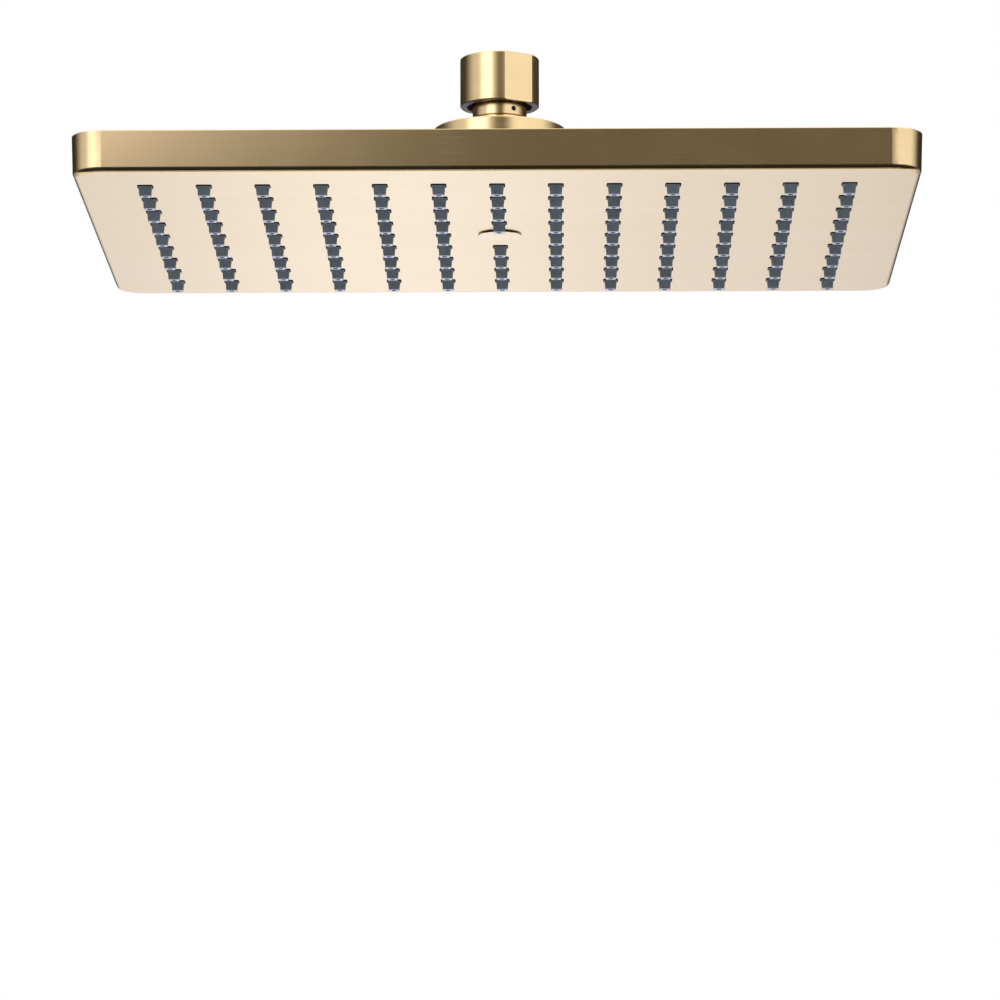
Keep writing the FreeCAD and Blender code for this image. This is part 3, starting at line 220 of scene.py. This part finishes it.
shell_gold = gold("brushed_gold_shell", (0.885, 0.630, 0.302), (0.855, 0.596, 0.270), (0.905, 0.658, 0.334), 0.20, 0.28, True, 0.16)
cap_gold = gold("brushed_gold_cap", (0.880, 0.636, 0.312), (0.860, 0.606, 0.284), (0.900, 0.660, 0.340), 0.18, 0.25, True, 0.10)
turned_gold = gold("turned_gold", (0.885, 0.627, 0.290), (0.845, 0.577, 0.250), (0.910, 0.657, 0.325), 0.20, 0.27, False, 0.18, streak_mm=0.12)
# the inlet body's turned gold, with painted shade on its lower face and recess
inlet_gold_shaded = gold("turned_gold_inlet_painted_shade", (0.885, 0.627, 0.290), (0.845, 0.577, 0.250), (0.910, 0.657, 0.325), 0.20, 0.27, False, 0.18, streak_mm=0.12, underside_painted_shade=True)


def plain(name, base, dark, rough, metallic=0.0, grain=900.0, strength=0.15, spread=0.06, depth=0.00003):
    """A moulded or plated surface with fine grain in colour, gloss and relief."""
    m, nt, out = new_material(name)
    p = nt.nodes.new("ShaderNodeBsdfPrincipled")
    nt.links.new(p.outputs[0], out.inputs[0])
    p.inputs["Metallic"].default_value = metallic
    x, y, z, vec, normal = position(nt)
    g = noise(nt, vec, grain, 3.0, 0.6)
    w = noise(nt, vec, grain * 0.06, 2.0, 0.5)
    t = math_node(nt, "ADD", math_node(nt, "MULTIPLY", g, 0.6), math_node(nt, "MULTIPLY", w, 0.4))
    nt.links.new(ramp(nt, t, [(0.32, rgba(*dark)), (0.62, rgba(*base))]), p.inputs["Base Color"])
    nt.links.new(remap(nt, g, 0.3, 0.7, rough - spread, rough + spread), p.inputs["Roughness"])
    nt.links.new(bump(nt, g, strength, depth), p.inputs["Normal"])
    return m


silicone = plain("silicone_blue_grey", (0.205, 0.238, 0.250), (0.140, 0.163, 0.174), 0.40, 0.0, 1400.0, 0.20, 0.07)
# painted shadow: the nozzle root is coloured near black to stand for the shaded gap in the port
root_painted_shadow = plain("silicone_root_shadow", (0.010, 0.010, 0.011), (0.006, 0.006, 0.007), 0.62, 0.0, 1600.0, 0.20, 0.05)
tip_grey = plain("silicone_tip", (0.205, 0.205, 0.212), (0.150, 0.150, 0.158), 0.24, 0.0, 1500.0, 0.10, 0.04)
root_painted_shadow.node_tree.nodes["Principled BSDF"].inputs["Specular IOR Level"].default_value = 0.12
_tip = tip_grey.node_tree.nodes["Principled BSDF"]
_tip.inputs["IOR"].default_value = 1.75
_tip.inputs["Coat Weight"].default_value = 1.0
_tip.inputs["Coat IOR"].default_value = 1.8
_tip.inputs["Coat Roughness"].default_value = 0.18
# painted shade: the outlet bore is coloured near black to stand for the shade inside the hole
bore_painted_shade = plain("outlet_bore_painted_shade", (0.006, 0.006, 0.006), (0.004, 0.004, 0.004), 0.60, 0.0, 1600.0, 0.10, 0.05)
seal_black = plain("seal_black_rubber", (0.022, 0.022, 0.023), (0.012, 0.012, 0.013), 0.55)
steel = plain("stainless_steel", (0.62, 0.61, 0.60), (0.50, 0.49, 0.48), 0.28, 1.0, 1800.0, 0.12)
steel_dark = plain("lock_screw_steel", (0.060, 0.050, 0.040), (0.030, 0.025, 0.020), 0.30, 1.0, 2200.0, 0.12)
# painted shade: the ball stem's brass is darkened far below brass to stand for the shade inside the joint
plated = plain("ball_stem_brass_painted_shade", (0.300, 0.215, 0.110), (0.200, 0.140, 0.070), 0.30, 1.0, 1500.0, 0.08)
raw_brass = plain("machined_brass", (0.80, 0.62, 0.33), (0.70, 0.52, 0.26), 0.30, 1.0, 1500.0, 0.15)
poly_grey = plain("moulded_grey", (0.22, 0.225, 0.235), (0.17, 0.175, 0.185), 0.50, 0.0, 1100.0, 0.2)
poly_white = plain("moulded_white", (0.72, 0.72, 0.70), (0.64, 0.64, 0.62), 0.42, 0.0, 1100.0, 0.12)
ptfe = plain("ptfe_white", (0.82, 0.82, 0.80), (0.76, 0.76, 0.74), 0.35, 0.0, 900.0, 0.08)

GIVE = {
    "inlet_body": inlet_gold_shaded, "retaining_collar": turned_gold, "neck_bell": turned_gold,
    "face_shell": shell_gold, "back_cover": shell_gold, "centre_cap": cap_gold,
    "ball_stem": plated, "stem_seal": seal_black, "inlet_washer": seal_black, "strainer_screen": steel,
    "flow_restrictor": poly_white, "ball_liner": ptfe, "lower_seat": poly_white, "seat_o_ring": seal_black,
    "collar_lock_screw": steel_dark, "bell_gasket": seal_black, "lock_washer": steel, "bell_lock_nut": raw_brass,
    "spigot_o_ring": seal_black, "chamber_cover": poly_grey, "chamber_seal": seal_black, "chamber_screws": steel,
    "spray_plate": poly_grey, "nozzle_mat": silicone, "centre_screw": steel, "centre_screw_seal": seal_black,
}
for name, mat in GIVE.items():
    ob = nodes[name]
    ob.data.materials.clear()
    ob.data.materials.append(mat)

# ------------------------------------------------------------------ mesh helpers
def finish_mesh(name, verts, faces, mats, indices=None, sharp=35.0):
    me = bpy.data.meshes.new(name)
    me.from_pydata(verts, [], faces)
    for mt in mats:
        me.materials.append(mt)
    if indices:
        me.polygons.foreach_set("material_index", indices)
    me.polygons.foreach_set("use_smooth", [True] * len(me.polygons))
    me.update()
    me.set_sharp_from_angle(angle=math.radians(sharp))
    ob = bpy.data.objects.new(name, me)
    scene.collection.objects.link(ob)
    return ob


FACE_Z = -0.067          # the spray face
PITCH, COLS, ROWS = 21.0, 13, 9
CORNER_STEPS = 5


def square_ring(half, corner):
    """Points of a rounded square, anticlockwise, in millimetres."""
    pts = []
    for q in range(4):
        cx = (half - corner) * (1, -1, -1, 1)[q]
        cy = (half - corner) * (1, 1, -1, -1)[q]
        for k in range(CORNER_STEPS + 1):
            t = math.radians(90.0 * q + 90.0 * k / CORNER_STEPS)
            pts.append((cx + corner * math.cos(t), cy + corner * math.sin(t)))
    return pts


def round_ring(radius):
    out = []
    for px, py in square_ring(2.0, 0.7):
        t = math.atan2(py, px)
        out.append((radius * math.cos(t), radius * math.sin(t)))
    return out


# ------------------------------------------------------------------ nozzle mat
# Every nozzle: a rolled root in the port, coloured near black as painted shadow of the gap round
# the nozzle, a waisted square body, a rounded tip with its glossy rim, and the outlet bore, coloured
# near black as painted shade. (half side, corner radius, height below the face, material)
SIL, ROOT, TIP, BORE = 0, 1, 2, 3
LEVELS = [
    (2.75, 0.85, 1.30, ROOT), (2.75, 0.85, -0.03, ROOT), (2.84, 1.15, -0.05, ROOT), (2.90, 1.35, -0.20, ROOT),
    (2.87, 1.35, -0.36, ROOT), (2.72, 1.20, -0.46, ROOT), (2.48, 0.95, -0.50, ROOT), (2.38, 0.82, -0.56, SIL),
    (2.34, 0.80, -0.78, SIL), (2.29, 0.77, -1.30, SIL), (2.21, 0.74, -2.00, SIL), (2.15, 0.71, -2.70, SIL),
    (2.11, 0.69, -3.30, SIL), (2.07, 0.67, -3.58, SIL), (1.99, 0.66, -3.76, TIP), (1.88, 0.64, -3.85, TIP),
    (1.72, 0.60, -3.895, TIP), (1.30, 0.55, -3.90, TIP),
]
ROUNDS = [(1.06, -3.89, TIP), (0.98, -3.83, TIP), (0.74, -3.82, BORE), (0.62, -3.80, BORE), (0.56, -3.70, BORE), (0.55, -2.00, BORE)]
rings, ring_mat = [], []
for half, corner, h, mt in LEVELS:
    rings.append([(px, py, h) for px, py in square_ring(half, corner)])
    ring_mat.append(mt)
for radius, h, mt in ROUNDS:
    rings.append([(px, py, h) for px, py in round_ring(radius)])
    ring_mat.append(mt)
n = len(rings[0])
t_verts = [p for ring in rings for p in ring]
t_faces, t_mats = [], []
for i in range(len(rings) - 1):
    for k in range(n):
        a, b = i * n + k, i * n + (k + 1) % n
        t_faces.append((b, a, a + n, b + n))
        t_mats.append(ring_mat[i + 1])
t_faces.append(tuple(range(n)))                                              # roof, inside the sheet
t_mats.append(ROOT)
last = (len(rings) - 1) * n
# the end of the bore is near black as painted shade
t_faces.append(tuple(last + k for k in reversed(range(n))))                  # end of the bore
t_mats.append(BORE)
verts, faces, mats = [], [], []
for col in range(COLS):
    for row in range(ROWS):
        if col == COLS // 2 and row == ROWS // 2:
            continue
        ox, oy = PITCH * (col - COLS // 2), PITCH * (row - ROWS // 2)
        # moulded silicone never stands quite true: a few hundredths of a millimetre of lean
        lean_x = 0.014 * math.sin(12.9898 * col + 78.233 * row)
        lean_y = 0.014 * math.sin(39.346 * col + 11.135 * row)
        base = len(verts)
        for px, py, h in t_verts:
            d = max(0.0, -h - 0.5)
            verts.append(((ox + px + lean_x * d) * MM, (oy + py + lean_y * d) * MM, FACE_Z + h * MM))
        faces += [tuple(base + v for v in f) for f in t_faces]
        mats += t_mats
# the sheet behind the face, with its round opening at the centre
sheet_n = 96
outer, inner = [], []
for k in range(sheet_n):
    t = 2.0 * math.pi * k / sheet_n
    c, sn = math.cos(t), math.sin(t)
    reach = min(145.0 / abs(c) if abs(c) > 1e-6 else 1e9, 103.0 / abs(sn) if abs(sn) > 1e-6 else 1e9)
    outer.append((reach * c, reach * sn))
    inner.append((7.85 * c, 7.85 * sn))
base = len(verts)
for h in (1.2, 2.7):
    for px, py in outer:
        verts.append((px * MM, py * MM, FACE_Z + h * MM))
    for px, py in inner:
        verts.append((px * MM, py * MM, FACE_Z + h * MM))
for k in range(sheet_n):
    k2 = (k + 1) % sheet_n
    lo_o, lo_i, hi_o, hi_i = base, base + sheet_n, base + 2 * sheet_n, base + 3 * sheet_n
    faces += [(lo_o + k, lo_i + k, lo_i + k2, lo_o + k2), (hi_o + k, hi_o + k2, hi_i + k2, hi_i + k),
              (lo_o + k, lo_o + k2, hi_o + k2, hi_o + k), (lo_i + k, hi_i + k, hi_i + k2, lo_i + k2)]
    mats += [SIL] * 4
mat_piece = finish_mesh("nozzle_mat_moulded", verts, faces, [silicone, root_painted_shadow, tip_grey, bore_painted_shade], mats, 40.0)
mat_piece.visible_glossy = False
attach(mat_piece, "head")
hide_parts("nozzle_mat")

# ------------------------------------------------------------------ inlet thread
# the turns of the G1/2 thread, seen down the mouth of the inlet
turn_v, turn_f = [], []
STEPS, LEAD, TURNS = 72, 1.814, 4.3
section = [(9.34, -0.62), (9.16, -0.30), (9.05, -0.12), (9.03, 0.0), (9.05, 0.12), (9.16, 0.30), (9.34, 0.62)]
total_steps = int(STEPS * TURNS)
for i in range(total_steps + 1):
    t = 2.0 * math.pi * i / STEPS
    fade = min(1.0, i / 14.0, (total_steps - i) / 14.0)
    zc = -0.25 - 0.62 - LEAD * TURNS * i / total_steps * 0.93
    for rr, dz in section:
        rad = 9.34 - (9.34 - rr) * max(fade, 0.02)
        turn_v.append((rad * math.cos(t) * MM, rad * math.sin(t) * MM, (zc + dz * 0.9) * MM))
m = len(section)
for i in range(total_steps):
    for k in range(m - 1):
        a = i * m + k
        turn_f.append((a, a + 1, a + 1 + m, a + m))
    turn_f.append((i * m + m - 1, i * m, i * m + m, i * m + 2 * m - 1))
turn_f.append(tuple(range(m)))
turn_f.append(tuple(total_steps * m + k for k in reversed(range(m))))
thread_piece = finish_mesh("inlet_thread_turns", turn_v, turn_f, [raw_brass], None, 50.0)
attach(thread_piece, "inlet")

# ------------------------------------------------------------------ camera
cam_data = bpy.data.cameras.new("camera")
cam = bpy.data.objects.new("camera", cam_data)
scene.collection.objects.link(cam)
cam_data.sensor_width = 36.0
cam_data.lens = 197.458
cam_data.clip_start, cam_data.clip_end = 0.05, 50.0
cam.location = Vector((22.43862, -2001.8155, -499.27486)) * MM
right = Vector((0.99993314, 0.01147971, -0.00138801))
down = Vector((-0.00324708, 0.16355337, -0.98652914))
ahead = Vector((-0.01109805, 0.98646769, 0.16357971))
cam.rotation_mode = "QUATERNION"
cam.rotation_quaternion = Matrix((right, -down, -ahead)).transposed().to_quaternion()
scene.camera = cam

# ------------------------------------------------------------------ floor, well below every camera
bm = bmesh.new()
bmesh.ops.create_grid(bm, x_segments=8, y_segments=8, size=60.0)
floor_mesh = bpy.data.meshes.new("floor")
bm.to_mesh(floor_mesh)
bm.free()
floor = bpy.data.objects.new("floor", floor_mesh)
scene.collection.objects.link(floor)
floor.location = (0, 0, -2.35)
fm, fnt, fout = new_material("pale_floor")
fp = fnt.nodes.new("ShaderNodeBsdfPrincipled")
fp.inputs["Base Color"].default_value = rgba(0.86, 0.86, 0.85)
fp.inputs["Roughness"].default_value = 0.7
fnt.links.new(fp.outputs[0], fout.inputs[0])
floor_mesh.materials.append(fm)
floor.visible_glossy = False

# ------------------------------------------------------------------ studio light
# A soft studio painted on the sky by direction: two tall softboxes in front on either side,
# a dark gap between them, a bright sweep low behind, and a soft ceiling.
world = bpy.data.worlds.new("studio")
scene.world = world
world.use_nodes = True
wt = world.node_tree
wt.nodes.clear()
wout = wt.nodes.new("ShaderNodeOutputWorld")
tc = wt.nodes.new("ShaderNodeTexCoord")
nrm = wt.nodes.new("ShaderNodeVectorMath")
nrm.operation = "NORMALIZE"
wt.links.new(tc.outputs["Generated"], nrm.inputs[0])
sep = wt.nodes.new("ShaderNodeSeparateXYZ")
wt.links.new(nrm.outputs[0], sep.inputs[0])
dx, dy, dz = sep.outputs
elev = math_node(wt, "MULTIPLY", math_node(wt, "ARCSINE", dz), 180.0 / math.pi)
# azimuth from the front (-Y), positive to +X
azim = math_node(wt, "MULTIPLY", math_node(wt, "ARCTAN2", dx, math_node(wt, "MULTIPLY", dy, -1.0)), 180.0 / math.pi)
absaz = math_node(wt, "ABSOLUTE", azim)


def smooth(v, a, b):
    """0 below a, 1 above b."""
    n = wt.nodes.new("ShaderNodeMapRange")
    n.interpolation_type = "SMOOTHSTEP"
    n.inputs["From Min"].default_value = a
    n.inputs["From Max"].default_value = b
    n.inputs["To Min"].default_value = 0.0
    n.inputs["To Max"].default_value = 1.0
    wt.links.new(v, n.inputs["Value"])
    return n.outputs["Result"]


def band(v, a0, a1, b0, b1):
    up = smooth(v, a0, a1)
    dn = math_node(wt, "SUBTRACT", 1.0, smooth(v, b0, b1))
    return math_node(wt, "MULTIPLY", up, dn)


def times(*vs):
    o = vs[0]
    for v in vs[1:]:
        o = math_node(wt, "MULTIPLY", o, v)
    return o


def plus(*vs):
    o = vs[0]
    for v in vs[1:]:
        o = math_node(wt, "ADD", o, v)
    return o


left_box = times(band(azim, -120.0, -74.0, -34.0, -12.0), band(elev, -3.0, 5.0, 55.0, 75.0), 0.76)
right_box = times(band(azim, 9.0, 28.0, 74.0, 120.0), band(elev, -3.0, 5.0, 55.0, 75.0), 1.10)
behind_low = times(smooth(absaz, 105.0, 130.0), plus(times(band(elev, -64.0, -50.0, -8.0, -1.0), 0.34), times(band(elev, -64.0, -52.0, -34.0, -20.0), 0.60)))
ceiling = times(smooth(elev, 28.0, 65.0), 0.85)
front_fill = times(math_node(wt, "SUBTRACT", 1.0, smooth(absaz, 20.0, 60.0)), band(elev, 0.0, 8.0, 60.0, 80.0), 0.12)
back_high = times(smooth(absaz, 96.0, 140.0), smooth(elev, 12.0, 30.0), 0.50)
cool = wt.nodes.new("ShaderNodeBackground")
# straight below and a little behind: what the spray face mirrors when it is seen from underneath
below = times(smooth(absaz, 78.0, 112.0), smooth(elev, -62.0, -72.0), 0.62)
wt.links.new(plus(left_box, right_box, behind_low, ceiling, below), cool.inputs["Strength"])
cool.inputs["Color"].default_value = rgba(0.98, 1.05, 1.26)
warm = wt.nodes.new("ShaderNodeBackground")
wt.links.new(plus(front_fill, back_high, 0.02), warm.inputs["Strength"])
warm.inputs["Color"].default_value = rgba(1.0, 0.95, 0.82)
lit = wt.nodes.new("ShaderNodeAddShader")
wt.links.new(cool.outputs[0], lit.inputs[0])
wt.links.new(warm.outputs[0], lit.inputs[1])
seen = wt.nodes.new("ShaderNodeBackground")
seen.inputs["Color"].default_value = rgba(1.0, 1.0, 1.0)
seen.inputs["Strength"].default_value = 1.0
lp = wt.nodes.new("ShaderNodeLightPath")
mixw = wt.nodes.new("ShaderNodeMixShader")
wt.links.new(lp.outputs["Is Camera Ray"], mixw.inputs[0])
wt.links.new(lit.outputs[0], mixw.inputs[1])
wt.links.new(seen.outputs[0], mixw.inputs[2])
wt.links.new(mixw.outputs[0], wout.inputs[0])


# Two glowing gauze cards near the head. Each adds light to what is behind it, fades out towards
# its edges, and is seen only in reflections.
def card(name, corners, strength, profile_x, profile_y, tint):
    """corners: lower left, lower right, upper right, upper left; profiles: (0..1, brightness)."""
    me = bpy.data.meshes.new(name)
    me.from_pydata([Vector(c) for c in corners], [], [(0, 1, 2, 3)])
    uv = me.uv_layers.new(name="UVMap")
    for loop, co in zip(uv.data, ((0, 0), (1, 0), (1, 1), (0, 1))):
        loop.uv = co
    ob = bpy.data.objects.new(name, me)
    scene.collection.objects.link(ob)
    cm, cnt, cout = new_material(name + "_glow")
    tcn = cnt.nodes.new("ShaderNodeTexCoord")
    us = cnt.nodes.new("ShaderNodeSeparateXYZ")
    cnt.links.new(tcn.outputs["UV"], us.inputs[0])

    def curve(value, stops):
        n = cnt.nodes.new("ShaderNodeValToRGB")
        n.color_ramp.interpolation = "EASE"
        el = n.color_ramp.elements
        while len(el) > 1:
            el.remove(el[-1])
        el[0].position, el[0].color = stops[0][0], rgba(*(stops[0][1],) * 3)
        for pos, v in stops[1:]:
            el.new(pos).color = rgba(v, v, v)
        cnt.links.new(value, n.inputs["Fac"])
        return n.outputs["Color"]

    both = math_node(cnt, "MULTIPLY", curve(us.outputs[0], profile_x), curve(us.outputs[1], profile_y))
    em = cnt.nodes.new("ShaderNodeEmission")
    em.inputs["Color"].default_value = rgba(*tint)
    cnt.links.new(math_node(cnt, "MULTIPLY", both, strength), em.inputs["Strength"])
    tr = cnt.nodes.new("ShaderNodeBsdfTransparent")
    add = cnt.nodes.new("ShaderNodeAddShader")
    cnt.links.new(em.outputs[0], add.inputs[0])
    cnt.links.new(tr.outputs[0], add.inputs[1])
    cnt.links.new(add.outputs[0], cout.inputs[0])
    me.materials.append(cm)
    ob.visible_camera = False
    ob.visible_diffuse = False
    ob.visible_shadow = False
    return ob


# front left: brightens the left end of the long edge and the left of the connector
card("left_card", [(-0.75, -0.46, -0.10), (-0.02, -0.46, -0.10), (-0.02, -0.46, 0.42), (-0.75, -0.46, 0.42)], 1.55,
     [(0.0, 0.0), (0.22, 0.62), (0.55, 0.86), (0.74, 0.91), (0.88, 0.26), (1.0, 0.0)],
     [(0.0, 0.0), (0.10, 0.0), (0.24, 1.0), (0.8, 1.0), (1.0, 0.0)], (0.98, 1.03, 1.30))
# low behind: brightest a little left of the middle of the spray face
card("behind_card", [(-0.56, 0.95, -0.80), (0.50, 0.95, -0.80), (0.50, 0.95, -0.10), (-0.56, 0.95, -0.10)], 0.82,
     [(0.0, 0.0), (0.28, 0.66), (0.46, 1.0), (0.64, 0.70), (1.0, 0.0)],
     [(0.0, 0.6), (0.3, 0.9), (0.70, 1.0), (0.92, 0.9), (1.0, 0.0)], (0.95, 1.05, 1.30))

scene.view_settings.view_transform = "Standard"
scene.view_settings.look = "None"
scene.view_settings.exposure = 0.0
scene.view_settings.gamma = 1.0
